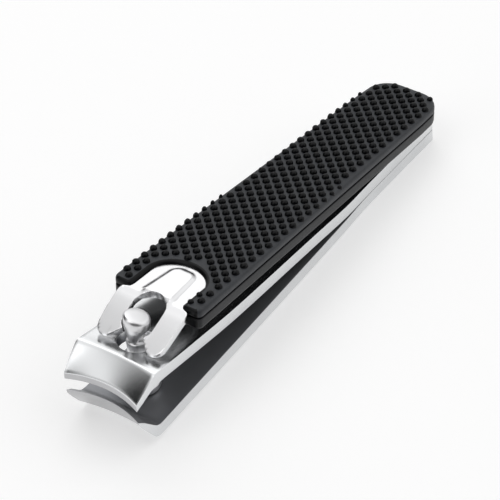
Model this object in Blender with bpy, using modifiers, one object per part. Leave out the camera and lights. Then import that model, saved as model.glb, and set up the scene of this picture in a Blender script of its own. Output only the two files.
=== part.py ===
"""Lever-type nail clipper with a textured rubber grip, parked with the lever folded flat.

Two sprung steel arms joined at the tail, a turned post standing through both arms near the
jaws, and a forked lever that hooks under the head of the post and carries the grip.
Metres, +Z up.  The origin is the centre of the post's foot, where it rests on the table;
+X runs towards the tail, the cutting edges are at -X, +Y is the left side.
"""
import math

import bmesh
import bpy
from mathutils import Vector

for old in list(bpy.data.objects):
    bpy.data.objects.remove(old, do_unlink=True)

MM = 0.001

# ---- driving dimensions (millimetres) -------------------------------------------------
ARM_HALF_W0 = 7.23           # half width of the arms at the post
ARM_TAPER = 0.031            # half width lost per mm towards the tail
ARM_TAIL_X = 75.4            # end of the arms
JAW_FRONT_X = -9.50          # corners of both cutting edges
JAW_HALF_W = 6.9             # half width of the cutting edges
JAW_SAG = 1.45               # how far the middle of the cutting edges is set back
JAW_CURVE_X = -3.5           # the hollow of the jaws fades out here
FLEX_X = 48.2                # where the sprung part of the upper arm starts to bend
FLEX_Z = 4.60                # mid thickness of the upper arm there
SPLIT = 0.12                 # slit between the sprung part and the tail part
FIT = 0.12                   # clearance between pieces that lie on each other

FOOT_R, FOOT_H = 2.8, 0.80   # flange of the post under the lower arm
COLLAR_R, COLLAR_TOP = 2.85, 4.90      # collar of the post on the lower arm
SHAFT_R, SHAFT_TOP = 1.64, 12.85
NECK_R, NECK_LOW, NECK_TOP = 0.85, 13.00, 13.35
HEAD_R, HEAD_MID, HEAD_TOP = 2.12, 15.75, 17.75
HEAD_LEAN = [(0.0, 0.0), (SHAFT_TOP, 0.0), (NECK_LOW, -0.62), (HEAD_MID, 0.45), (HEAD_TOP, 0.70)]
LOWER_HOLE_R = 1.95
UPPER_HOLE_R = 3.10

PIVOT_X, PIVOT_Z = -1.25, 14.45        # pitch axis of the lever, across the neck of the post

LEVER_TILT = math.radians(-7.56)     # lever plane falls towards the tail
LEVER_X, LEVER_Z = 7.34, 15.94       # a point of the grip's parting plane
PLATE_LOW, PLATE_HIGH = -0.35, 0.85  # underside and top of the lever strip
FORK_HALF_W = 6.40                   # half width of the fork at its shoulders
STRIP_HALF_W = 4.72                  # half width of the strip between the grip's legs
STRIP_END = 64.0                     # end of the strip inside the grip
GRIP_FRONT, GRIP_END = -1.9, 70.1    # along the lever, from LEVER_X
GRIP_HALF_W0 = 8.20                  # half width of the grip at LEVER_X
GRIP_TAPER = 0.027                   # half width lost per mm towards the tail
GRIP_UP, GRIP_DOWN = 2.00, 2.12      # grip above and below its parting plane
ARCH_HALF_W, ARCH_END = 4.90, 7.5    # opening of the grip around the fork

# ---- collections and materials ---------------------------------------------------------
part_col = bpy.data.collections.new("nail_clipper")
cut_col = bpy.data.collections.new("cutters")
bpy.context.scene.collection.children.link(part_col)
bpy.context.scene.collection.children.link(cut_col)


def material(name, colour, roughness, metallic):
    mat = bpy.data.materials.new(name)
    mat.use_nodes = True
    shader = mat.node_tree.nodes["Principled BSDF"]
    shader.inputs["Base Color"].default_value = (*colour, 1.0)
    shader.inputs["Roughness"].default_value = roughness
    shader.inputs["Metallic"].default_value = metallic
    return mat


STEEL = material("satin_steel", (0.62, 0.62, 0.63), 0.28, 1.0)
STEEL_DARK = material("inner_steel", (0.50, 0.50, 0.51), 0.35, 1.0)
STEEL_LEVER = material("pressed_steel", (0.60, 0.60, 0.62), 0.32, 1.0)
STEEL_POST = material("turned_steel", (0.66, 0.66, 0.67), 0.22, 1.0)
RUBBER = material("grip_rubber", (0.035, 0.036, 0.038), 0.62, 0.0)
PLASTIC = material("grip_plastic", (0.022, 0.023, 0.025), 0.48, 0.0)


# ---- builders -------------------------------------------------------------------------
def link(obj, cutter=False):
    for col in list(obj.users_collection):
        col.objects.unlink(obj)
    (cut_col if cutter else part_col).objects.link(obj)
    if cutter:
        obj.hide_render = True
        obj.display_type = 'WIRE'
    return obj


def outline_body(name, points, low, high, side=False, cutter=False):
    """Closed outline in mm extruded from low to high.

    Plan outlines lie in XY and rise in Z; side outlines lie in XZ and run along Y.
    """
    curve = bpy.data.curves.new(name, 'CURVE')
    curve.dimensions = '2D'
    curve.fill_mode = 'BOTH'
    spline = curve.splines.new('POLY')
    spline.points.add(len(points) - 1)
    for slot, (u, v) in zip(spline.points, points):
        slot.co = (u * MM, v * MM, 0.0, 1.0)
    spline.use_cyclic_u = True
    curve.extrude = (high - low) * MM / 2
    flat = bpy.data.objects.new(name + "_outline", curve)
    bpy.context.scene.collection.objects.link(flat)
    middle = (high + low) * MM / 2
    if side:
        flat.rotation_euler = (math.pi / 2, 0.0, 0.0)
        flat.location = (0.0, -middle, 0.0)
    else:
        flat.location = (0.0, 0.0, middle)
    bpy.context.view_layer.update()
    depsgraph = bpy.context.evaluated_depsgraph_get()
    mesh = bpy.data.meshes.new_from_object(flat.evaluated_get(depsgraph))
    mesh.transform(flat.matrix_world)
    bm = bmesh.new()
    bm.from_mesh(mesh)
    bmesh.ops.remove_doubles(bm, verts=bm.verts, dist=0.000002)
    bmesh.ops.recalc_face_normals(bm, faces=bm.faces)
    bm.to_mesh(mesh)
    bm.free()
    bpy.data.objects.remove(flat, do_unlink=True)
    mesh.name = name
    return link(bpy.data.objects.new(name, mesh), cutter)


def drum(name, radius, low, high, x=0.0, y=0.0, sides=48, cutter=False):
    """Upright cylinder, dimensions in mm."""
    mesh = bpy.data.meshes.new(name)
    bm = bmesh.new()
    bmesh.ops.create_cone(bm, cap_ends=True, segments=sides, radius1=radius * MM,
                          radius2=radius * MM, depth=(high - low) * MM)
    bmesh.ops.translate(bm, verts=bm.verts, vec=Vector((x, y, (high + low) / 2)) * MM)
    bm.to_mesh(mesh)
    bm.free()
    return link(bpy.data.objects.new(name, mesh), cutter)


def turned(name, profile, steps=40):
    """Closed body turned about Z from a profile that runs top to bottom, in mm."""
    mesh = bpy.data.meshes.new(name)
    bm = bmesh.new()
    ring = [bm.verts.new((r * MM, 0.0, z * MM)) for r, z in profile]
    for a, b in zip(ring, ring[1:]):
        bm.edges.new((a, b))
    bm.to_mesh(mesh)
    bm.free()
    obj = link(bpy.data.objects.new(name, mesh))
    screw = obj.modifiers.new("turn", 'SCREW')
    screw.axis = 'Z'
    screw.steps = steps
    screw.render_steps = steps
    screw.use_merge_vertices = True
    screw.merge_threshold = 0.000005
    return obj


def boolean(obj, tool, operation):
    mod = obj.modifiers.new(tool.name, 'BOOLEAN')
    mod.operation = operation
    mod.solver = 'EXACT'
    mod.object = tool


def bevel(obj, width, segments=2, angle=35.0):
    mod = obj.modifiers.new("edges", 'BEVEL')
    mod.width = width * MM
    mod.segments = segments
    mod.limit_method = 'ANGLE'
    mod.angle_limit = math.radians(angle)


def tilt_to_lever(obj):
    """Turns a body built in the lever's own frame into place on the lever plane."""
    for vertex in obj.data.vertices:
        x, z = vertex.co.x, vertex.co.z
        ca, sa = math.cos(LEVER_TILT), math.sin(LEVER_TILT)
        vertex.co.x = LEVER_X * MM + x * ca - z * sa
        vertex.co.z = LEVER_Z * MM + x * sa + z * ca


def place(obj, x, y, z, parent, mat, smooth=False):
    """Moves the origin to a point in mm without moving the body, and hangs it on parent."""
    pivot = Vector((x, y, z)) * MM
    for vertex in obj.data.vertices:
        vertex.co -= pivot
    obj.location = pivot - (parent.location if parent else Vector((0, 0, 0)))
    if parent:
        obj.parent = parent
    obj.data.materials.append(mat)
    if smooth:
        for polygon in obj.data.polygons:
            polygon.use_smooth = True


def empty(name, x, y, z):
    obj = bpy.data.objects.new(name, None)
    obj.location = Vector((x, y, z)) * MM
    return link(obj)


def arm_half_width(x):
    return ARM_HALF_W0 - ARM_TAPER * x


# ---- arms ---------------------------------------------------------------------------------
# plan outline shared by both arms: narrow cutting edges, widest behind the jaws, taper to tail
tail_w = arm_half_width(ARM_TAIL_X)
half_plan = [(JAW_FRONT_X - 0.8, JAW_HALF_W), (JAW_FRONT_X + 1.1, JAW_HALF_W + 0.22),
             (-5.4, arm_half_width(-5.4)), (ARM_TAIL_X - 0.5, tail_w), (ARM_TAIL_X, tail_w - 0.5)]
arm_plan = half_plan + [(x, -y) for x, y in reversed(half_plan)]
upper_plan = outline_body("upper_plan_cutter", arm_plan, -5.0, 25.0, cutter=True)
lower_plan = outline_body("lower_plan_cutter", arm_plan, -5.0, 25.0, cutter=True)


def hollow_jaw(obj, slices=12):
    """Sets the middle of the jaw back, more towards the cutting edge, so it is hollow in plan."""
    bm = bmesh.new()
    bm.from_mesh(obj.data)
    for k in range(slices + 1):
        y = JAW_HALF_W * (2.0 * k / slices - 1.0)
        bmesh.ops.bisect_plane(bm, geom=bm.verts[:] + bm.edges[:] + bm.faces[:],
                               plane_co=(0.0, y * MM, 0.0), plane_no=(0.0, 1.0, 0.0))
    for vertex in bm.verts:
        x, y = vertex.co.x / MM, vertex.co.y / MM
        reach = min(1.0, max(0.0, (JAW_CURVE_X - x) / (JAW_CURVE_X - JAW_FRONT_X)))
        vertex.co.x += MM * JAW_SAG * reach * max(0.0, 1.0 - (y / JAW_HALF_W) ** 2)
    bm.to_mesh(obj.data)
    bm.free()


upper_top = [(FLEX_X - SPLIT / 2, 5.70), (40.1, 6.68), (31.2, 7.74), (22.7, 8.72), (14.4, 9.80),
             (6.5, 11.20), (1.2, 12.15), (-4.6, 13.28), (-5.2, 13.34), (-5.8, 13.10)]
upper_jaw = [(-9.20, 10.62), (-9.60, 10.10), (-9.66, 9.05), (-8.15, 9.90), (-6.40, 10.80),
             (-4.70, 11.05), (-3.40, 10.90)]
upper_under = [(1.2, 10.06), (6.5, 9.04), (14.4, 7.64), (22.7, 6.55), (31.2, 5.56),
               (40.1, 4.50), (FLEX_X - SPLIT / 2, 3.52)]
upper_arm = outline_body("upper_arm", upper_top + upper_jaw + upper_under, -9.0, 9.0, side=True)
hollow_jaw(upper_arm)
boolean(upper_arm, upper_plan, 'INTERSECT')
boolean(upper_arm, drum("upper_hole_cutter", UPPER_HOLE_R, 8.0, 15.0, cutter=True), 'DIFFERENCE')
bevel(upper_arm, 0.14, 2, 50)

tail_profile = [(FLEX_X + SPLIT / 2, 5.69), (55.2, 5.43), (ARM_TAIL_X, 4.40),
                (ARM_TAIL_X, 2.26), (55.2, 3.28), (FLEX_X + SPLIT / 2, 3.51)]
upper_arm_tail = outline_body("upper_arm_tail", tail_profile, -9.0, 9.0, side=True)
boolean(upper_arm_tail, upper_plan, 'INTERSECT')

lower_profile = [(ARM_TAIL_X, 0.0), (55.2, 1.05), (47.2, 0.92), (33.2, 0.86), (10.2, 0.90),
                 (-5.7, 0.92), (-6.55, 1.22), (-7.05, 1.85), (-8.50, 4.10), (-9.60, 6.05),
                 (-9.70, 6.72), (-8.40, 5.75), (-7.00, 4.20), (-6.10, 3.28), (-5.20, 3.07),
                 (10.2, 3.05), (33.2, 3.00), (47.2, 3.02), (55.2, 3.16), (ARM_TAIL_X, 2.14)]
lower_arm = outline_body("lower_arm", lower_profile, -9.0, 9.0, side=True)
hollow_jaw(lower_arm)
boolean(lower_arm, lower_plan, 'INTERSECT')
boolean(lower_arm, drum("lower_hole_cutter", LOWER_HOLE_R, -1.0, 6.0, cutter=True), 'DIFFERENCE')
bevel(lower_arm, 0.14, 2, 50)

# two flat rivets hold the tails together, flush inside both arms
RIVET_XS = (59.7, 69.2)
RIVET_R = 1.3
for index, rivet_x in enumerate(RIVET_XS):
    drop = (rivet_x - 55.2) * (5.43 - 4.40) / (ARM_TAIL_X - 55.2)
    low, high = 1.30 - drop, 5.13 - drop
    rivet = turned("tail_rivet_%d" % (index + 1), [(0.0, high), (RIVET_R, high), (RIVET_R, low),
                                                   (0.0, low)], 24)
    place(rivet, 0.0, 0.0, 0.0, None, STEEL_POST, smooth=True)
    rivet.location = (rivet_x * MM, 0.0, 0.0)
    for arm in (lower_arm, upper_arm_tail):
        hole = drum("%s_rivet_%d_cutter" % (arm.name, index + 1), RIVET_R + 0.10, -2.0, 9.0,
                    x=rivet_x, sides=32, cutter=True)
        boolean(arm, hole, 'DIFFERENCE')

place(lower_arm, 0.0, 0.0, 0.0, None, STEEL_DARK)
place(upper_arm, FLEX_X, 0.0, FLEX_Z, None, STEEL)
place(upper_arm_tail, FLEX_X, 0.0, FLEX_Z, None, STEEL)

# ---- post -----------------------------------------------------------------------------
post_profile = [(0.0, HEAD_TOP), (0.75, HEAD_TOP - 0.08), (1.35, HEAD_TOP - 0.38),
                (1.85, HEAD_TOP - 0.90), (HEAD_R, HEAD_MID + 0.35), (HEAD_R, HEAD_MID),
                (NECK_R, NECK_TOP), (NECK_R, NECK_LOW), (SHAFT_R, SHAFT_TOP),
                (SHAFT_R, COLLAR_TOP), (COLLAR_R - 0.7, COLLAR_TOP), (COLLAR_R, COLLAR_TOP - 0.6),
                (COLLAR_R, 3.20), (SHAFT_R, 3.20), (SHAFT_R, FOOT_H), (FOOT_R - 0.15, FOOT_H),
                (FOOT_R, FOOT_H - 0.15), (FOOT_R, 0.0), (0.0, 0.0)]
post_stock = turned("post_stock", post_profile, 40)
bpy.context.view_layer.update()
post_mesh = bpy.data.meshes.new_from_object(
    post_stock.evaluated_get(bpy.context.evaluated_depsgraph_get()))
bpy.data.objects.remove(post_stock, do_unlink=True)


def lean(z):
    """How far the axis of the head is set off towards +X at height z, in mm."""
    for (z0, x0), (z1, x1) in zip(HEAD_LEAN, HEAD_LEAN[1:]):
        if z <= z1:
            return x0 + (x1 - x0) * (z - z0) / (z1 - z0)
    return HEAD_LEAN[-1][1]


for vertex in post_mesh.vertices:
    vertex.co.x += MM * lean(vertex.co.z / MM)
post = link(bpy.data.objects.new("post", post_mesh))
place(post, 0.0, 0.0, 0.0, None, STEEL_POST, smooth=True)

# ---- lever ----------------------------------------------------------------------------
lever = empty("lever", PIVOT_X, 0.0, PIVOT_Z)


def on_lever(along, up):
    ca, sa = math.cos(LEVER_TILT), math.sin(LEVER_TILT)
    return (LEVER_X + along * ca - up * sa, LEVER_Z + along * sa + up * ca)


# side outline of the strip: flat inside the grip, bent down in front into the fork, whose
# prongs stand just off the upper arm
fork_top = [on_lever(-0.2, PLATE_HIGH), (5.6, 17.02), (4.3, 16.86), (-0.9, 14.64), (-1.9, 14.16),
            (-2.55, 13.76)]
fork_under = [(-2.60, 13.58), (-2.30, 13.46), (-1.60, 13.46), (-0.6, 13.70), (1.2, 14.50),
              (4.6, 15.72), on_lever(-0.2, PLATE_LOW)]
lever_side = ([on_lever(STRIP_END, PLATE_HIGH)] + fork_top + fork_under
              + [on_lever(STRIP_END, PLATE_LOW)])
lever_plate = outline_body("lever_plate", lever_side, -9.0, 9.0, side=True)

# plan outline of the strip: rounded prongs, cusps at the neck, round-ended keyhole behind
prong = [(-0.25, 2.45), (-0.60, 1.95), (-1.00, 2.25), (-1.45, 2.75), (-2.00, 3.20), (-2.45, 3.90),
         (-2.60, 4.60), (-2.45, 5.25), (-2.05, 5.80), (-1.20, 6.10)]
strip_end_x = on_lever(STRIP_END, 0.0)[0]
half_lever = prong + [(1.3, FORK_HALF_W - 0.08), (4.4, FORK_HALF_W), (5.1, FORK_HALF_W - 0.12),
                      (5.4, FORK_HALF_W - 0.5), (5.4, STRIP_HALF_W), (13.0, STRIP_HALF_W - 0.1),
                      (strip_end_x - 2.5, 3.9), (strip_end_x + 2.0, 2.4)]
KEY_X, KEY_R = 3.45, 2.88
key_steps = 14
key_half = [(KEY_X + KEY_R * math.cos(math.pi / 2 * k / key_steps),
             KEY_R * math.sin(math.pi / 2 * k / key_steps)) for k in range(key_steps + 1)]
left_side = key_half[1:] + [(0.5, KEY_R)] + half_lever
lever_outline = key_half[:1] + left_side + [(x, -y) for x, y in reversed(left_side)]
lever_plan = outline_body("lever_plan_cutter", lever_outline, -5.0, 25.0, cutter=True)
boolean(lever_plate, lever_plan, 'INTERSECT')
bevel(lever_plate, 0.10, 1, 50)
place(lever_plate, PIVOT_X, 0.0, PIVOT_Z, lever, STEEL_LEVER)


# ---- grip -----------------------------------------------------------------------------
def grip_half_width(along):
    return GRIP_HALF_W0 - GRIP_TAPER * along


def arc(cx, cy, rx, ry, start, end, steps):
    """Points of an elliptical arc, angles in degrees."""
    out = []
    for k in range(steps + 1):
        angle = math.radians(start + (end - start) * k / steps)
        out.append((cx + rx * math.cos(angle), cy + ry * math.sin(angle)))
    return out


def grip_body(name, low, high):
    """Plan of the grip in the lever frame: rounded tail, two front legs, arched opening."""
    arch_x, corner = 3.0, 0.8
    leg_out = grip_half_width(GRIP_FRONT)
    half = arc(arch_x, 0.0, ARCH_END - arch_x, ARCH_HALF_W, 0.0, 90.0, 12)
    half += [(GRIP_FRONT + 0.4, ARCH_HALF_W), (GRIP_FRONT, ARCH_HALF_W + 0.4)]
    half += arc(GRIP_FRONT + corner, leg_out - corner, corner, corner, 180.0, 90.0, 4)
    half += arc(GRIP_END - 4.0, grip_half_width(GRIP_END) - 4.0, 4.0, 4.0, 85.0, 0.0, 8)
    return outline_body(name, half + [(x, -y) for x, y in reversed(half[1:])], low, high)


def strip_pocket(name, low, high):
    """Room for the lever strip between the two halves of the grip, in the lever frame."""
    half = [(-12.0, STRIP_HALF_W + FIT), (5.6, STRIP_HALF_W + FIT),
            (STRIP_END - 2.3, 4.1), (STRIP_END + 0.3, 3.4)]
    return outline_body(name, half + [(x, -y) for x, y in reversed(half)], low, high, cutter=True)


grip_pad = grip_body("grip_pad", 0.02, GRIP_UP)
pad_pocket = strip_pocket("pad_pocket_cutter", -1.0, PLATE_HIGH + FIT)
grip_carrier = grip_body("grip_carrier", -GRIP_DOWN, -0.10)
carrier_pocket = strip_pocket("carrier_pocket_cutter", PLATE_LOW - FIT, 1.0)
for body in (grip_pad, pad_pocket, grip_carrier, carrier_pocket):
    tilt_to_lever(body)
boolean(grip_pad, pad_pocket, 'DIFFERENCE')
boolean(grip_carrier, carrier_pocket, 'DIFFERENCE')
bevel(grip_pad, 0.35, 2, 50)
bevel(grip_carrier, 0.20, 1, 50)
place(grip_pad, PIVOT_X, 0.0, PIVOT_Z, lever, RUBBER)
place(grip_carrier, PIVOT_X, 0.0, PIVOT_Z, lever, PLASTIC)
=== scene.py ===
"""Studio scene of the lever-type nail clipper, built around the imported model."""
import math

import bmesh
import bpy
from mathutils import Matrix, Vector


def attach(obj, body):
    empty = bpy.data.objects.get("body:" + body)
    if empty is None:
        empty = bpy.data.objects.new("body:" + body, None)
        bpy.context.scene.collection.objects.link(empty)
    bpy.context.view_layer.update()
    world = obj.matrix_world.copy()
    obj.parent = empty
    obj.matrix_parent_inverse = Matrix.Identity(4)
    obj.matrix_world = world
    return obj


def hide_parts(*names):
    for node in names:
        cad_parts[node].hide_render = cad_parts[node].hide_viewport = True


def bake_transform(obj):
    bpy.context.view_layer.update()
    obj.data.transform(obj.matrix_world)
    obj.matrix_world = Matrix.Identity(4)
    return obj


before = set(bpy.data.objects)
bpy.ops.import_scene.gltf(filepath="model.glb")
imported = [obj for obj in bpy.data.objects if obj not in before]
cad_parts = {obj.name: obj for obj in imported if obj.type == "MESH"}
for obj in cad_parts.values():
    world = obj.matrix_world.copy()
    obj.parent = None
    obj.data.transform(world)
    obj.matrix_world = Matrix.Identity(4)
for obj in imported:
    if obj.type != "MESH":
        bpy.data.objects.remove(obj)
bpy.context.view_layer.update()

MM = 0.001

# ---- driving dimensions, in mm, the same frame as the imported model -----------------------
ARM_HALF_W0, ARM_TAPER = 7.23, 0.031       # half width of the arms at the post, loss per mm
ARM_TAIL_X, JAW_FRONT_X = 75.4, -9.50
JAW_HALF_W, JAW_SAG, JAW_CURVE_X = 6.9, 1.45, -3.5
JAW_BEND_X, JAW_NARROWING = -5.4, 3.0      # the arms narrow to the jaws from here, over this length
JAW_CORNER_X, JAW_CORNER = 1.1, 0.18       # length and depth of the eased corners of the jaws
UPPER_HOLE_R, LOWER_HOLE_R = 3.10, 1.95
RIVET_XS, RIVET_R, RIVET_FIT = (59.7, 69.2), 1.3, 0.1
ARM_EDGE, PLATE_EDGE = 0.16, 0.26          # rounding of the sheet edges

FOOT_R, FOOT_H = 2.8, 0.80
COLLAR_R, COLLAR_LOW, COLLAR_TOP = 2.85, 3.20, 4.90
SHAFT_R, SHAFT_TOP = 1.64, 12.85
NECK_R, NECK_LOW, NECK_TOP = 0.85, 13.00, 13.35
HEAD_R, HEAD_MID, HEAD_TOP = 2.12, 15.75, 17.75
HEAD_LEAN = [(0.0, 0.0), (SHAFT_TOP, 0.0), (NECK_LOW, -0.62), (HEAD_MID, 0.50), (HEAD_TOP, 0.90)]
HEAD_SLOPE, CROWN_DROP = 0.30, 0.62        # slope of the head's rings, flat crown below HEAD_TOP
SLOPE_X, SLOPE_Y = 0.8, -0.6               # direction in which the head falls

LEVER_TILT = math.radians(-7.56)
LEVER_X, LEVER_Z = 7.34, 15.94
PLATE_LOW, PLATE_HIGH = -0.35, 0.85
FORK_HALF_W, STRIP_HALF_W, STRIP_END = 6.40, 4.72, 64.0
KEY_X, KEY_R = 3.45, 2.88                  # round back of the keyhole
TONGUE_X0, TONGUE_X1, TONGUE_RISE = 5.4, 13.75, 0.34
TONGUE_HALF_W, TONGUE_TAPER, TONGUE_TIP_W = 3.30, 0.125, 2.45
TONGUE_CORNER, TONGUE_SLOPE = 1.7, 0.80

GRIP_FRONT, GRIP_END = -1.9, 70.1
GRIP_HALF_W0, GRIP_TAPER = 8.20, 0.027
GRIP_UP, GRIP_DOWN = 2.00, 2.12
GRIP_LEG_R, GRIP_TAIL_R = 0.9, 4.0         # corners of the legs and of the tail, in plan
ARCH_HALF_W, ARCH_X, ARCH_END = 4.86, 2.9, 7.05
FRONT_WALL = 31                            # outline steps from the arch round to the leg's corner
NUB_PITCH, NUB_ROW = 2.200, 1.178          # nubs along a row, rows across the grip
NUB_X0, NUB_Y0 = 0.62, 0.36                # where the pattern starts
NUB_R, NUB_HEIGHT = 0.62, 0.60
NUB_FULL, NUB_LEAST = 0.74, 0.42           # room for a full nub, room for any nub
NUB_EDGE = 0.12                            # the cut side of a nub stays this far inside the grip
FAR_ROW_CUT, FAR_ROW_FADE = 0.45, 0.0035   # how far the far row may be cut, loss per mm


# ---- camera -----------------------------------------------------------------------------
def set_camera():
    """Camera at the photo's angle."""
    data = bpy.data.cameras.new("camera")
    data.lens, data.sensor_width = 181.0, 36.0
    cam = bpy.data.objects.new("camera", data)
    bpy.context.scene.collection.objects.link(cam)
    right = Vector((0.5767075, -0.8135074, -0.0749274))
    up = Vector((0.5768942, 0.3405886, 0.7424233))
    pose = Matrix((right, up, right.cross(up))).transposed().to_4x4()
    pose.translation = Vector((-0.20228, -0.18860, 0.27460))
    cam.matrix_world = pose
    bpy.context.scene.camera = cam


# ---- materials --------------------------------------------------------------------------
def node_material(name):
    mat = bpy.data.materials.new(name)
    mat.use_nodes = True
    return mat, mat.node_tree.nodes, mat.node_tree.links


def ramp(nodes, links, source, stops):
    """Colour ramp on source, from (place, grey or colour) stops."""
    out = nodes.new("ShaderNodeValToRGB")
    while len(out.color_ramp.elements) < len(stops):
        out.color_ramp.elements.new(0.5)
    for element, (place, value) in zip(out.color_ramp.elements, stops):
        element.position = place
        element.color = (*value, 1.0) if isinstance(value, tuple) else (value, value, value, 1.0)
    links.new(source, out.inputs["Fac"])
    return out.outputs["Color"]


def streak_noise(nodes, links, scale, stretch, detail=4.0):
    """Noise in object space; stretch gives the scale along each axis."""
    coords = nodes.new("ShaderNodeTexCoord")
    mapping = nodes.new("ShaderNodeMapping")
    mapping.inputs["Scale"].default_value = stretch
    links.new(coords.outputs["Object"], mapping.inputs["Vector"])
    tex = nodes.new("ShaderNodeTexNoise")
    tex.inputs["Scale"].default_value = scale
    tex.inputs["Detail"].default_value = detail
    links.new(mapping.outputs["Vector"], tex.inputs["Vector"])
    return tex.outputs["Fac"]


def add_bump(nodes, links, source, shader, strength, distance):
    bump = nodes.new("ShaderNodeBump")
    bump.inputs["Strength"].default_value = strength
    bump.inputs["Distance"].default_value = distance
    links.new(source, bump.inputs["Height"])
    links.new(bump.outputs["Normal"], shader.inputs["Normal"])


def steel(name, tint, rough, grain=(0.06, 1.0, 1.0), streak=2600.0, metallic=1.0, bump=0.03):
    """Ground steel: fine streaks along one axis, slow patches of polish."""
    mat, nodes, links = node_material(name)
    shader = nodes["Principled BSDF"]
    shader.inputs["Metallic"].default_value = metallic
    fine = streak_noise(nodes, links, streak, grain)
    patches = streak_noise(nodes, links, 160.0, (1.0, 1.0, 1.0), 2.0)
    dark = tuple(0.96 * c for c in tint)
    links.new(ramp(nodes, links, patches, [(0.3, dark), (0.7, tint)]), shader.inputs["Base Color"])
    links.new(ramp(nodes, links, fine, [(0.25, rough * 0.96), (0.75, rough * 1.06)]),
              shader.inputs["Roughness"])
    add_bump(nodes, links, fine, shader, bump, 0.00002)
    return mat


def moulded(name, tint, rough, shine, grain_scale, bump):
    """Moulded rubber or plastic: fine grain, slow changes of tone."""
    mat, nodes, links = node_material(name)
    shader = nodes["Principled BSDF"]
    shader.inputs["Specular IOR Level"].default_value = shine
    grain = streak_noise(nodes, links, grain_scale, (1.0, 1.0, 1.0), 6.0)
    tone = streak_noise(nodes, links, 220.0, (1.0, 1.0, 1.0), 3.0)
    pale = tuple(1.35 * c for c in tint)
    links.new(ramp(nodes, links, tone, [(0.3, tint), (0.7, pale)]), shader.inputs["Base Color"])
    links.new(ramp(nodes, links, grain, [(0.3, rough * 0.85), (0.7, rough * 1.15)]),
              shader.inputs["Roughness"])
    add_bump(nodes, links, grain, shader, bump, 0.00004)
    return mat


# ---- mesh helpers -----------------------------------------------------------------------
def make_piece(name, points, faces, mats, material_of=None):
    """Mesh object from points in mm."""
    mesh = bpy.data.meshes.new(name)
    mesh.from_pydata([tuple(c * MM for c in p) for p in points], [], faces)
    for mat in mats:
        mesh.materials.append(mat)
    if material_of:
        for polygon in mesh.polygons:
            polygon.material_index = material_of(polygon)
    obj = bpy.data.objects.new(name, mesh)
    bpy.context.scene.collection.objects.link(obj)
    return obj


def tidy_normals(obj):
    """Joins doubled points and turns the faces outwards."""
    bm = bmesh.new()
    bm.from_mesh(obj.data)
    bmesh.ops.remove_doubles(bm, verts=bm.verts, dist=0.000001)
    bmesh.ops.recalc_face_normals(bm, faces=bm.faces)
    bm.to_mesh(obj.data)
    bm.free()


def bake(obj, smooth_deg=35.0):
    """Applies the modifiers and shades the piece smooth, with creases at real edges."""
    bpy.context.view_layer.update()
    depsgraph = bpy.context.evaluated_depsgraph_get()
    mesh = bpy.data.meshes.new_from_object(obj.evaluated_get(depsgraph))
    obj.modifiers.clear()
    obj.data = mesh
    mesh.shade_smooth()
    mesh.set_sharp_from_angle(angle=math.radians(smooth_deg))


def bevel(obj, width, angle):
    """Rounds the edges that turn by more than angle degrees."""
    mod = obj.modifiers.new("edges", 'BEVEL')
    mod.width = width * MM
    mod.segments = 3
    mod.limit_method = 'ANGLE'
    mod.angle_limit = math.radians(angle)


def cut_holes(obj, holes):
    """Upright round holes through the piece: (x, radius, low, high)."""
    for x, radius, low, high in holes:
        bm = bmesh.new()
        bmesh.ops.create_cone(bm, cap_ends=True, segments=72, radius1=radius * MM,
                              radius2=radius * MM, depth=(high - low) * MM)
        bmesh.ops.translate(bm, verts=bm.verts, vec=Vector((x, 0.0, (high + low) / 2)) * MM)
        mesh = bpy.data.meshes.new("drill")
        bm.to_mesh(mesh)
        bm.free()
        drill = bpy.data.objects.new("drill", mesh)
        bpy.context.scene.collection.objects.link(drill)
        mod = obj.modifiers.new("hole", 'BOOLEAN')
        mod.operation, mod.solver, mod.object = 'DIFFERENCE', 'EXACT', drill
        bpy.context.view_layer.update()
        evaluated = obj.evaluated_get(bpy.context.evaluated_depsgraph_get())
        mesh = bpy.data.meshes.new_from_object(evaluated)
        obj.modifiers.clear()
        obj.data = mesh
        bpy.data.objects.remove(drill, do_unlink=True)


def smooth_run(points, per_span):
    """Points of a smooth curve through the given ones."""
    out = []
    count = len(points)
    for i in range(count - 1):
        a, b = points[max(i - 1, 0)], points[i]
        c, d = points[i + 1], points[min(i + 2, count - 1)]
        for k in range(per_span):
            t = k / per_span
            out.append(tuple(0.5 * (2 * q + (r - p) * t + (2 * p - 5 * q + 4 * r - s) * t * t
                                    + (3 * q - p - 3 * r + s) * t ** 3)
                             for p, q, r, s in zip(a, b, c, d)))
    return out + [points[-1]]


def smoothstep(t):
    """Soft step from 0 at t = 0 to 1 at t = 1."""
    t = min(1.0, max(0.0, t))
    return t * t * (3.0 - 2.0 * t)


def arm_half_width(x):
    half = ARM_HALF_W0 - ARM_TAPER * x
    if x < JAW_BEND_X:
        half += (JAW_HALF_W + JAW_CORNER - half) * min(1.0, (JAW_BEND_X - x) / JAW_NARROWING)
    corner_x = JAW_FRONT_X + JAW_CORNER_X
    if x < corner_x:
        half -= JAW_CORNER * min(1.0, (corner_x - x) / JAW_CORNER_X)
    return half


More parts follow.
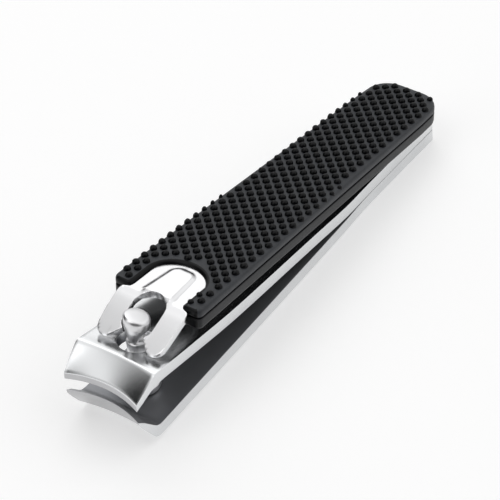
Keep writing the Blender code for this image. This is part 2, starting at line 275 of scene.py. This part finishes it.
def strip_piece(name, stations, mats, ground_and_shade_from, slices=28):
    """Sprung strip from (outer, inner) pairs of side points, hollow in plan at the jaws.

    Materials: outside and sides; inner face, a darker steel that paints the shade between the arms;
    outer faces from the station that the fourth argument gives on, a ground steel made darker to
    paint the shade reflected on the cutting lands and on the lower jaw's outer face.
    """
    points, faces = [], []
    ts = [2.0 * j / slices - 1.0 for j in range(slices + 1)]
    for pair in stations:
        for x, z in pair:
            reach = min(1.0, max(0.0, (JAW_CURVE_X - x) / (JAW_CURVE_X - JAW_FRONT_X)))
            for t in ts:
                points.append((x + JAW_SAG * reach * (1.0 - t * t), t * arm_half_width(x), z))
    row = slices + 1

    def index(k, side, j):
        return (2 * k + side) * row + j

    last = len(stations) - 1
    tags = []
    # tag 1, the inner steel, and tag 2, the edge steel, are darker copies whose colour paints shade
    # between the arms and on the jaws' outer faces
    for k in range(last):
        for j in range(slices):
            faces.append((index(k, 0, j), index(k, 0, j + 1),
                          index(k + 1, 0, j + 1), index(k + 1, 0, j)))
            tags.append(2 if k >= ground_and_shade_from else 0)
            faces.append((index(k, 1, j), index(k + 1, 1, j),
                          index(k + 1, 1, j + 1), index(k, 1, j + 1)))
            tags.append(1)
        for j in (0, slices):
            faces.append((index(k, 0, j), index(k + 1, 0, j), index(k + 1, 1, j), index(k, 1, j)))
            tags.append(0)
    for k in (0, last):
        for j in range(slices):
            faces.append((index(k, 0, j), index(k, 1, j), index(k, 1, j + 1), index(k, 0, j + 1)))
            tags.append(2 if k else 0)
    obj = make_piece(name, points, faces, mats)
    for polygon, tag in zip(obj.data.polygons, tags):
        polygon.material_index = tag
    tidy_normals(obj)
    return obj


def on_lever(along, up):
    """Model x and z of a point given along and above the lever's parting plane."""
    ca, sa = math.cos(LEVER_TILT), math.sin(LEVER_TILT)
    return (LEVER_X + along * ca - up * sa, LEVER_Z + along * sa + up * ca)


def quarter(x, y, rx, ry, steps):
    """Quarter of an ellipse about (x, y), from its +X end to its +Y end."""
    turns = [math.pi / 2 * k / steps for k in range(steps + 1)]
    return [(x + rx * math.cos(turn), y + ry * math.sin(turn)) for turn in turns]


def lever_space(points):
    """Turns (along, y, up) points of the lever's frame into model points."""
    out = []
    for along, y, up in points:
        x, z = on_lever(along, up)
        out.append((x, y, z))
    return out


# ---- arms -------------------------------------------------------------------------------
def upper_stations():
    """Side profile of the upper arm from the tail to the cutting edge: (outer, inner) points."""
    top = smooth_run([(ARM_TAIL_X, 4.40), (55.2, 5.43), (48.2, 5.70), (40.1, 6.68), (31.2, 7.74),
                      (22.7, 8.72), (14.4, 9.80), (6.5, 11.20), (1.2, 12.15), (-3.9, 13.16)], 3)
    under = smooth_run([(ARM_TAIL_X, 2.26), (55.2, 3.28), (48.2, 3.52), (40.1, 4.50), (31.2, 5.56),
                        (22.7, 6.55), (14.4, 7.64), (6.5, 9.04), (1.2, 10.06), (-3.0, 10.86)], 3)
    jaw_out = [(-4.55, 13.30), (-5.0, 13.36), (-5.4, 13.24), (-5.8, 13.02), (-7.5, 11.83),
               (-9.15, 10.66), (-9.50, 10.36), (-9.60, 10.10), (-9.63, 9.6), (-9.66, 9.05)]
    jaw_in = [(-3.6, 10.93), (-4.1, 11.00), (-4.6, 11.04), (-5.1, 11.02), (-6.40, 10.80),
              (-7.4, 10.32), (-7.9, 10.05), (-8.3, 9.80), (-8.8, 9.53), (-9.55, 9.11)]
    return list(zip(top, under)) + list(zip(jaw_out, jaw_in))


def lower_stations():
    """Side profile of the lower arm, in the same way."""
    bottom = smooth_run([(ARM_TAIL_X, 0.0), (55.2, 1.05), (47.2, 0.92), (33.2, 0.86), (10.2, 0.90),
                         (-4.9, 0.92)], 5)
    inner = smooth_run([(ARM_TAIL_X, 2.14), (55.2, 3.16), (47.2, 3.02), (33.2, 3.00), (10.2, 3.05),
                        (-4.6, 3.06)], 5)
    jaw_out = [(-5.7, 0.94), (-6.2, 1.06), (-6.6, 1.30), (-7.05, 1.85), (-8.50, 4.10),
               (-9.30, 5.45), (-9.60, 6.05), (-9.68, 6.40), (-9.70, 6.70)]
    jaw_in = [(-5.2, 3.08), (-5.6, 3.15), (-6.1, 3.35), (-6.6, 3.80), (-7.6, 4.85), (-8.4, 5.70),
              (-8.9, 6.12), (-9.3, 6.42), (-9.66, 6.71)]
    return list(zip(bottom, inner)) + list(zip(jaw_out, jaw_in))


def build_arms(mats):
    # the inner steel is a darker copy of the arm steel, and its colour paints the shade between the
    # arms
    steels = [mats["arm"], mats["inner"], mats["edge"]]
    stations = upper_stations()
    # the last three stations, the cutting land, take the edge steel with its painted shade
    spring = strip_piece("spring_arm", stations, steels, len(stations) - 3)
    cut_holes(spring, [(0.0, UPPER_HOLE_R, 8.0, 15.0)]
              + [(x, RIVET_R + RIVET_FIT, 0.0, 9.0) for x in RIVET_XS])
    bevel(spring, ARM_EDGE, 42.0)
    bake(spring)
    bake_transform(spring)
    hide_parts("upper_arm", "upper_arm_tail")

    stations = lower_stations()
    # the lower jaw's outer face, from the eighth station from the end, takes the edge steel with
    # its painted shade
    base = strip_piece("base_arm", stations, steels, len(stations) - 8)
    cut_holes(base, [(0.0, LOWER_HOLE_R, -1.0, 6.0)]
              + [(x, RIVET_R + RIVET_FIT, -2.0, 9.0) for x in RIVET_XS])
    bevel(base, ARM_EDGE, 42.0)
    bake(base)
    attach(base, "frame")
    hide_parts("lower_arm")


# ---- post -------------------------------------------------------------------------------
def lean(z):
    """How far the post's axis leans towards +X at height z."""
    for (z0, x0), (z1, x1) in zip(HEAD_LEAN, HEAD_LEAN[1:]):
        if z <= z1:
            return x0 + (x1 - x0) * (z - z0) / (z1 - z0)
    return HEAD_LEAN[-1][1]


def head_tilt(z):
    """Slope of the head's rings, which stand square to its leaning axis."""
    return HEAD_SLOPE * smoothstep((z - NECK_TOP) / (HEAD_MID - NECK_TOP))


def build_post(mats, sides=72):
    """Turned post from (radius, height) rings that lean, and tilt towards the head."""
    top = HEAD_TOP - CROWN_DROP
    crown = [(0.8, top), (1.60, top - 0.01), (1.78, top - 0.06), (1.98, top - 0.24),
             (2.05, top - 0.36), (HEAD_R, top - 0.60), (HEAD_R, HEAD_MID + 0.10)]
    cone = [(HEAD_R, HEAD_MID - 0.15), (1.62, 14.70), (1.25, 13.95), (1.02, 13.50),
            (NECK_R + 0.03, NECK_TOP + 0.02), (NECK_R, NECK_TOP - 0.05),
            (NECK_R, NECK_LOW + 0.05), (NECK_R + 0.05, NECK_LOW)]
    shaft = [(SHAFT_R - 0.22, SHAFT_TOP), (SHAFT_R - 0.06, SHAFT_TOP - 0.06),
             (SHAFT_R, SHAFT_TOP - 0.2), (SHAFT_R, COLLAR_TOP + 0.25),
             (SHAFT_R + 0.25, COLLAR_TOP + 0.02), (COLLAR_R - 0.75, COLLAR_TOP),
             (COLLAR_R - 0.25, COLLAR_TOP - 0.25), (COLLAR_R, COLLAR_TOP - 0.75),
             (COLLAR_R, COLLAR_LOW + 0.10), (COLLAR_R - 0.08, COLLAR_LOW), (SHAFT_R, COLLAR_LOW),
             (SHAFT_R, FOOT_H), (FOOT_R - 0.15, FOOT_H), (FOOT_R, FOOT_H - 0.15),
             (FOOT_R, 0.12), (FOOT_R - 0.12, 0.0)]
    profile = crown + cone + shaft
    points = [(lean(HEAD_TOP), 0.0, top)]
    for radius, z in profile:
        for k in range(sides):
            a = 2 * math.pi * k / sides
            across, aside = radius * math.cos(a), radius * math.sin(a)
            drop = head_tilt(z) * (SLOPE_X * across + SLOPE_Y * aside)
            points.append((lean(z) + across, aside, z - drop))
    points.append((0.0, 0.0, 0.0))
    faces = [(0, 1 + k, 1 + (k + 1) % sides) for k in range(sides)]
    for ring in range(len(profile) - 1):
        a, b = 1 + ring * sides, 1 + (ring + 1) * sides
        for k in range(sides):
            faces.append((a + k, b + k, b + (k + 1) % sides, a + (k + 1) % sides))
    base = 1 + (len(profile) - 1) * sides
    faces += [(base + k, len(points) - 1, base + (k + 1) % sides) for k in range(sides)]
    post = make_piece("headed_post", points, faces, [mats["post"]])
    tidy_normals(post)
    bake(post, 26.0)
    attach(post, "swivel_post")
    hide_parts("post")


# ---- lever plate --------------------------------------------------------------------------
def plate_outline():
    """Plan outline of the fork, the keyhole and the strip."""
    prong = [(-0.25, 2.45), (-0.52, 2.08), (-0.72, 2.05), (-1.05, 2.35), (-1.45, 2.78),
             (-1.95, 3.22), (-2.35, 3.75), (-2.58, 4.40), (-2.52, 5.05), (-2.20, 5.62),
             (-1.70, 5.98), (-1.00, 6.17)]
    shoulder = [(1.3, FORK_HALF_W - 0.08), (4.3, FORK_HALF_W), (4.9, FORK_HALF_W - 0.08),
                (5.25, FORK_HALF_W - 0.35), (5.4, FORK_HALF_W - 0.8), (5.5, 5.35), (5.75, 4.95),
                (6.2, STRIP_HALF_W)]
    end_x = on_lever(STRIP_END, 0.0)[0]
    strip = [(13.0, STRIP_HALF_W - 0.1), (end_x - 2.5, 3.9), (end_x, 2.9)]
    key = quarter(KEY_X, 0.0, KEY_R, KEY_R, 24)
    left = key[1:] + [(2.0, KEY_R), (0.6, KEY_R - 0.03), (0.15, KEY_R - 0.15)]
    left += prong + shoulder + strip
    return [key[0]] + left + [(x, -y) for x, y in reversed(left)]


def run_height(run, x):
    """Height of a polyline that falls in x, at x."""
    for (x0, z0), (x1, z1) in zip(run, run[1:]):
        if x >= x1:
            return z0 + (z1 - z0) * (x - x0) / (x1 - x0)
    return run[-1][1]


def tongue_rise(x, y):
    """Pressed tongue behind the keyhole, with a rounded end."""
    width = TONGUE_HALF_W - TONGUE_TAPER * (x - 6.0)
    across = abs(y) * TONGUE_TIP_W / width
    du = max(0.0, across - (TONGUE_TIP_W - TONGUE_CORNER))
    dv = max(0.0, x - (TONGUE_X1 - TONGUE_CORNER))
    inside = TONGUE_CORNER - math.hypot(du, dv)
    return TONGUE_RISE * smoothstep(inside / TONGUE_SLOPE) * smoothstep(x - TONGUE_X0)


def plate_blank():
    """Flat blank of the plate as a mesh, cut into a fine net so that it can be pressed."""
    curve = bpy.data.curves.new("plate", 'CURVE')
    curve.dimensions, curve.fill_mode = '2D', 'BOTH'
    spline = curve.splines.new('POLY')
    outline = plate_outline()
    spline.points.add(len(outline) - 1)
    for slot, (x, y) in zip(spline.points, outline):
        slot.co = (x * MM, y * MM, 0.0, 1.0)
    spline.use_cyclic_u = True
    curve.extrude = 0.5 * MM
    flat = bpy.data.objects.new("plate", curve)
    bpy.context.scene.collection.objects.link(flat)
    bpy.context.view_layer.update()
    evaluated = flat.evaluated_get(bpy.context.evaluated_depsgraph_get())
    mesh = bpy.data.meshes.new_from_object(evaluated)
    bpy.data.objects.remove(flat, do_unlink=True)
    bm = bmesh.new()
    bm.from_mesh(mesh)
    bmesh.ops.remove_doubles(bm, verts=bm.verts, dist=0.000002)
    fork = [-2.25 + 0.5 * k for k in range(16)]
    tongue = [5.6 + 0.22 * k for k in range(40)]
    strip = [15.0 + 7.0 * k for k in range(8)]
    across = [-3.96 + 0.22 * k for k in range(37)] + [-4.6, -5.3, 4.6, 5.3]
    cuts = [(x, 0.0) for x in fork + tongue + strip] + [(0.0, y) for y in across]
    for x, y in cuts:
        bmesh.ops.bisect_plane(bm, geom=bm.verts[:] + bm.edges[:] + bm.faces[:], dist=0.0000005,
                               plane_co=(x * MM, y * MM, 0.0),
                               plane_no=(1.0, 0.0, 0.0) if x else (0.0, 1.0, 0.0))
    return mesh, bm


def build_plate(mats):
    top = smooth_run([on_lever(STRIP_END, PLATE_HIGH), on_lever(20.0, PLATE_HIGH),
                      on_lever(1.0, PLATE_HIGH), (6.1, 16.97), (5.3, 16.90), (4.5, 16.68),
                      (3.6, 16.46), (1.4, 15.66), (-0.9, 14.66), (-1.9, 14.18),
                      (-2.30, 13.98), (-2.60, 13.84)], 4)
    under = smooth_run([on_lever(STRIP_END, PLATE_LOW), on_lever(20.0, PLATE_LOW),
                        on_lever(0.2, PLATE_LOW), (4.6, 15.62), (1.6, 14.54), (0.2, 13.92),
                        (-0.8, 13.56), (-1.6, 13.47), (-2.60, 13.50)], 4)
    mesh, bm = plate_blank()
    for vertex in bm.verts:
        x, y = vertex.co.x / MM, vertex.co.y / MM
        if vertex.co.z > 0.0:
            vertex.co.z = MM * (run_height(top, x) + tongue_rise(x, y))
        else:
            vertex.co.z = MM * (run_height(under, x) + 0.7 * tongue_rise(x, y))
    bmesh.ops.recalc_face_normals(bm, faces=bm.faces)
    bm.to_mesh(mesh)
    bm.free()
    mesh.materials.append(mats["plate"])
    plate = bpy.data.objects.new("forked_plate", mesh)
    bpy.context.scene.collection.objects.link(plate)
    bevel(plate, PLATE_EDGE, 55.0)
    bake(plate, 40.0)
    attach(plate, "lever")
    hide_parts("lever_plate")


# ---- grip ---------------------------------------------------------------------------------
def grip_half_width(along):
    return GRIP_HALF_W0 - GRIP_TAPER * along


def grip_outline(inset, grow):
    """Half outline of the grip in the lever frame, from the arch's far end to the tail.

    The outside moves in by inset, and the arch opens by grow.
    """
    front, end = GRIP_FRONT + inset, GRIP_END - inset
    arch_w, arch_end = ARCH_HALF_W + grow, ARCH_END + 1.35 * grow
    leg_out = grip_half_width(0.0) - inset
    corner = min(GRIP_LEG_R, 0.45 * (leg_out - arch_w))
    half = quarter(ARCH_X, 0.0, arch_end - ARCH_X, arch_w, 20)
    half += [(ARCH_X + (front + 0.5 - ARCH_X) * k / 6, arch_w) for k in range(1, 7)]
    half += [(front + 0.12, arch_w + 0.08), (front, arch_w + 0.25)]
    for k in range(7):
        turn = math.pi / 2 * k / 6
        half.append((front + corner - corner * math.cos(turn),
                     leg_out - corner + corner * math.sin(turn)))
    side = [end - GRIP_TAIL_R - (end - 6.0 - front) * (1 - k / 24) for k in range(1, 24)]
    half += [(x, grip_half_width(x) - inset) for x in side]
    tail_y = grip_half_width(end) - inset - GRIP_TAIL_R
    half += reversed(quarter(end - GRIP_TAIL_R, tail_y, GRIP_TAIL_R, GRIP_TAIL_R, 14))
    return half


def lofted_grip(name, rings, mats):
    """Closed body through outlines at rising heights: (inset, grow, up).

    Materials: the body, the walls of the arch and of the legs' ends; the second is a near-black
    rubber whose darkness paints the shade on those walls.
    """
    points, faces = [], []
    loops = []
    for inset, grow, up in rings:
        half = grip_outline(inset, grow)
        loop = half + [(x, -y) for x, y in reversed(half[1:])]
        loops.append(len(points))
        points += [(x, y, up) for x, y in loop]
    count = len(loop)
    for low, high in zip(loops, loops[1:]):
        for k in range(count):
            k2 = (k + 1) % count
            faces.append((low + k, low + k2, high + k2, high + k))
    faces.append(tuple(range(loops[0], loops[0] + count)))
    faces.append(tuple(reversed(range(loops[-1], loops[-1] + count))))
    front = set(range(FRONT_WALL)) | set(range(count - FRONT_WALL, count))

    def material_of(polygon):
        wall = polygon.index < count * (len(rings) - 1)
        return 1 if wall and polygon.index % count in front else 0

    obj = make_piece(name, lever_space(points), faces, mats, material_of)
    tidy_normals(obj)
    return obj


def nub_size(x, y):
    """How much of its full size a nub has here: less near an edge, none on the border."""
    room = grip_half_width(x) - abs(y)
    if y > 0:
        room += FAR_ROW_CUT - FAR_ROW_FADE * x
    dx = x - (GRIP_END - GRIP_TAIL_R)
    dy = abs(y) - (grip_half_width(GRIP_END) - GRIP_TAIL_R)
    if dx > 0 and dy > 0:
        room = GRIP_TAIL_R - math.hypot(dx, dy)
    room = min(room, GRIP_END - x, x - GRIP_FRONT)
    if x < ARCH_X:
        room = min(room, abs(y) - ARCH_HALF_W - 0.09)
    elif math.hypot((x - ARCH_X) / 5.6, y / 5.8) < 1.0:
        return 0.0
    return min(1.0, room / NUB_FULL) if room > NUB_LEAST else 0.0


def nub_mesh(top, sides=12):
    """Points and faces of all the nubs: each a closed cap sunk a little into the pad."""
    rings = [(1.05, -0.45), (1.0, 0.12), (0.93, 0.29), (0.77, 0.43), (0.52, 0.54), (0.26, 0.59)]
    points, faces = [], []
    for row in range(-6, 7):
        shift = 0.5 * NUB_PITCH * (row % 2)
        for step in range(-2, 34):
            x, y = step * NUB_PITCH + shift + NUB_X0, row * NUB_ROW + NUB_Y0
            size = nub_size(x, y)
            if size == 0.0:
                continue
            start = len(points)
            for scale, up in rings:
                for k in range(sides):
                    turn = 2 * math.pi * k / sides
                    px = x + NUB_R * size * scale * math.cos(turn)
                    py = y + NUB_R * size * scale * math.sin(turn)
                    points.append((px, min(py, grip_half_width(px) - NUB_EDGE), top + up * size))
            points.append((x, y, top + NUB_HEIGHT * size))
            apex = len(points) - 1
            for a in range(start, apex - sides, sides):
                b = a + sides
                for k in range(sides):
                    k2 = (k + 1) % sides
                    faces.append((a + k, a + k2, b + k2, b + k))
            cap = apex - sides
            faces += [(cap + k, cap + (k + 1) % sides, apex) for k in range(sides)]
            faces.append(tuple(reversed(range(start, start + sides))))
    return points, faces


def build_grip(mats):
    top = GRIP_UP - NUB_HEIGHT
    # the pad's arch and leg-end walls take the near-black rubber, which paints the shade on them
    pad = lofted_grip("grip_pad_rubber",
                      [(0.07, 0.0, 0.16), (0.0, 0.0, 0.23), (0.0, 0.04, 0.80), (0.03, 0.12, 1.05),
                       (0.12, 0.26, top - 0.14), (0.26, 0.42, top - 0.03), (0.42, 0.60, top)],
                      [mats["rubber"], mats["nub"]])
    bake(pad, 50.0)
    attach(pad, "lever")
    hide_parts("grip_pad")

    points, faces = nub_mesh(top)
    # the nubs take the near-black rubber, whose darkness paints the shade on their walls
    nubs = make_piece("grip_nubs", lever_space(points), faces, [mats["nub"]])
    bake(nubs, 60.0)
    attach(nubs, "lever")

    low = -GRIP_DOWN
    # the carrier's arch and leg-end walls take the near-black rubber too, painting shade on them
    carrier = lofted_grip("grip_carrier_shell",
                          [(0.45, 0.0, low), (0.18, 0.0, low + 0.08), (0.04, 0.0, low + 0.30),
                           (0.0, 0.0, low + 0.55), (0.0, 0.0, -0.24), (0.07, 0.0, -0.16),
                           (0.70, 0.3, -0.16), (0.72, 0.3, 0.18)],
                          [mats["plastic"], mats["nub"]])
    bake(carrier, 40.0)
    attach(carrier, "lever")
    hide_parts("grip_carrier")


# ---- studio -------------------------------------------------------------------------------
FLOOR_GREY, FLOOR_GLOW = 0.62, 0.46
DOME_STRENGTH = 1.12
DOME_TONE = [(0.0, 0.55), (0.20, 0.60), (0.42, 1.0), (0.60, 1.0), (1.0, 1.0)]
# dark flags on the dome, which give the bright faces their shape:
# direction, cosine where each starts, cosine where it is darkest, tone left there
FLAGS = [((-0.22, 0.88, 0.42), 0.80, 0.935, 0.0),
         ((-0.62, -0.55, 0.45), 0.60, 0.86, 0.04),
         ((0.78, 0.42, 0.46), 0.84, 0.985, 0.72)]


def area_light(name, place, target, size, power):
    data = bpy.data.lights.new(name, 'AREA')
    data.energy, data.size = power, size
    lamp = bpy.data.objects.new(name, data)
    bpy.context.scene.collection.objects.link(lamp)
    lamp.location = place
    lamp.rotation_euler = (Vector(target) - Vector(place)).to_track_quat('-Z', 'Y').to_euler()


def build_floor():
    mesh = bpy.data.meshes.new("floor")
    mesh.from_pydata([(-3, -3, 0), (3, -3, 0), (3, 3, 0), (-3, 3, 0)], [], [(0, 1, 2, 3)])
    floor = bpy.data.objects.new("floor", mesh)
    bpy.context.scene.collection.objects.link(floor)
    mat, nodes, _ = node_material("pale_floor")
    sockets = nodes["Principled BSDF"].inputs
    sockets["Base Color"].default_value = (FLOOR_GREY, FLOOR_GREY, FLOOR_GREY, 1.0)
    sockets["Roughness"].default_value = 0.9
    sockets["Emission Color"].default_value = (1.0, 1.0, 1.0, 1.0)
    sockets["Emission Strength"].default_value = FLOOR_GLOW
    mesh.materials.append(mat)


def build_dome():
    """White dome, greyer near the horizon, with the flags on it."""
    world = bpy.data.worlds.new("studio")
    bpy.context.scene.world = world
    world.use_nodes = True
    nodes, links = world.node_tree.nodes, world.node_tree.links
    coords = nodes.new("ShaderNodeTexCoord")
    split = nodes.new("ShaderNodeSeparateXYZ")
    links.new(coords.outputs["Generated"], split.inputs[0])
    tone = ramp(nodes, links, split.outputs["Z"], DOME_TONE)
    for place, start, end, depth in FLAGS:
        aim = nodes.new("ShaderNodeVectorMath")
        aim.operation = 'DOT_PRODUCT'
        links.new(coords.outputs["Generated"], aim.inputs[0])
        aim.inputs[1].default_value = Vector(place).normalized()
        flag = ramp(nodes, links, aim.outputs["Value"], [(start, 1.0), (end, depth)])
        both = nodes.new("ShaderNodeMix")
        both.data_type, both.blend_type = 'RGBA', 'MULTIPLY'
        both.inputs["Factor"].default_value = 1.0
        links.new(tone, both.inputs["A"])
        links.new(flag, both.inputs["B"])
        tone = both.outputs["Result"]
    links.new(tone, nodes["Background"].inputs["Color"])
    nodes["Background"].inputs["Strength"].default_value = DOME_STRENGTH


def build_studio():
    build_floor()
    build_dome()
    target = (0.02, 0.0, 0.01)
    area_light("back_box", (0.36, 0.30, 0.42), target, 0.40, 0.30)
    area_light("top_box", (-0.22, 0.05, 0.55), target, 0.30, 0.30)
    bpy.context.scene.view_settings.view_transform = 'Standard'


# ---- the scene --------------------------------------------------------------------------
set_camera()
materials = {
    "arm": steel("satin_steel_fine", (0.74, 0.75, 0.76), 0.21, bump=0.006),
    # faces between the arms: rougher like unpolished steel, and a dark colour that paints the shade
    # that falls between the arms
    "inner": steel("inner_steel_painted_shade", (0.27, 0.275, 0.29), 0.40, metallic=0.8),
    # cutting lands and the lower jaw's outer face: cross grain of grinding, and a darker colour
    # that paints the shade reflected there
    "edge": steel("ground_edge_steel_painted_shade", (0.52, 0.52, 0.53), 0.30, (1.0, 0.06, 1.0)),
    "plate": steel("pressed_steel_satin", (0.78, 0.78, 0.79), 0.24, (1.0, 1.0, 1.0), 1800.0,
                   bump=0.015),
    "post": steel("turned_steel_bright", (0.80, 0.80, 0.81), 0.33, (1.0, 1.0, 0.08), bump=0.01),
    "rubber": moulded("grip_rubber_matt", (0.0240, 0.0262, 0.0305), 0.50, 0.34, 5200.0, 0.25),
    # near-black copy of the grip rubber for the nubs and the walls of the arch and the legs' ends:
    # its darkness paints the shade on them
    "nub": moulded("grip_rubber_nubs_painted_shade", (0.0022, 0.0024, 0.0030), 0.36, 0.16, 5200.0, 0.15),
    "plastic": moulded("carrier_plastic", (0.0060, 0.0066, 0.0080), 0.40, 0.26, 3800.0, 0.2),
}
build_arms(materials)
build_post(materials)
build_plate(materials)
build_grip(materials)
# the rivets keep their CAD meshes and get a better steel
for rivet in ("tail_rivet_1", "tail_rivet_2"):
    for slot in bpy.data.objects[rivet].material_slots:
        slot.material = materials["post"]
build_studio()
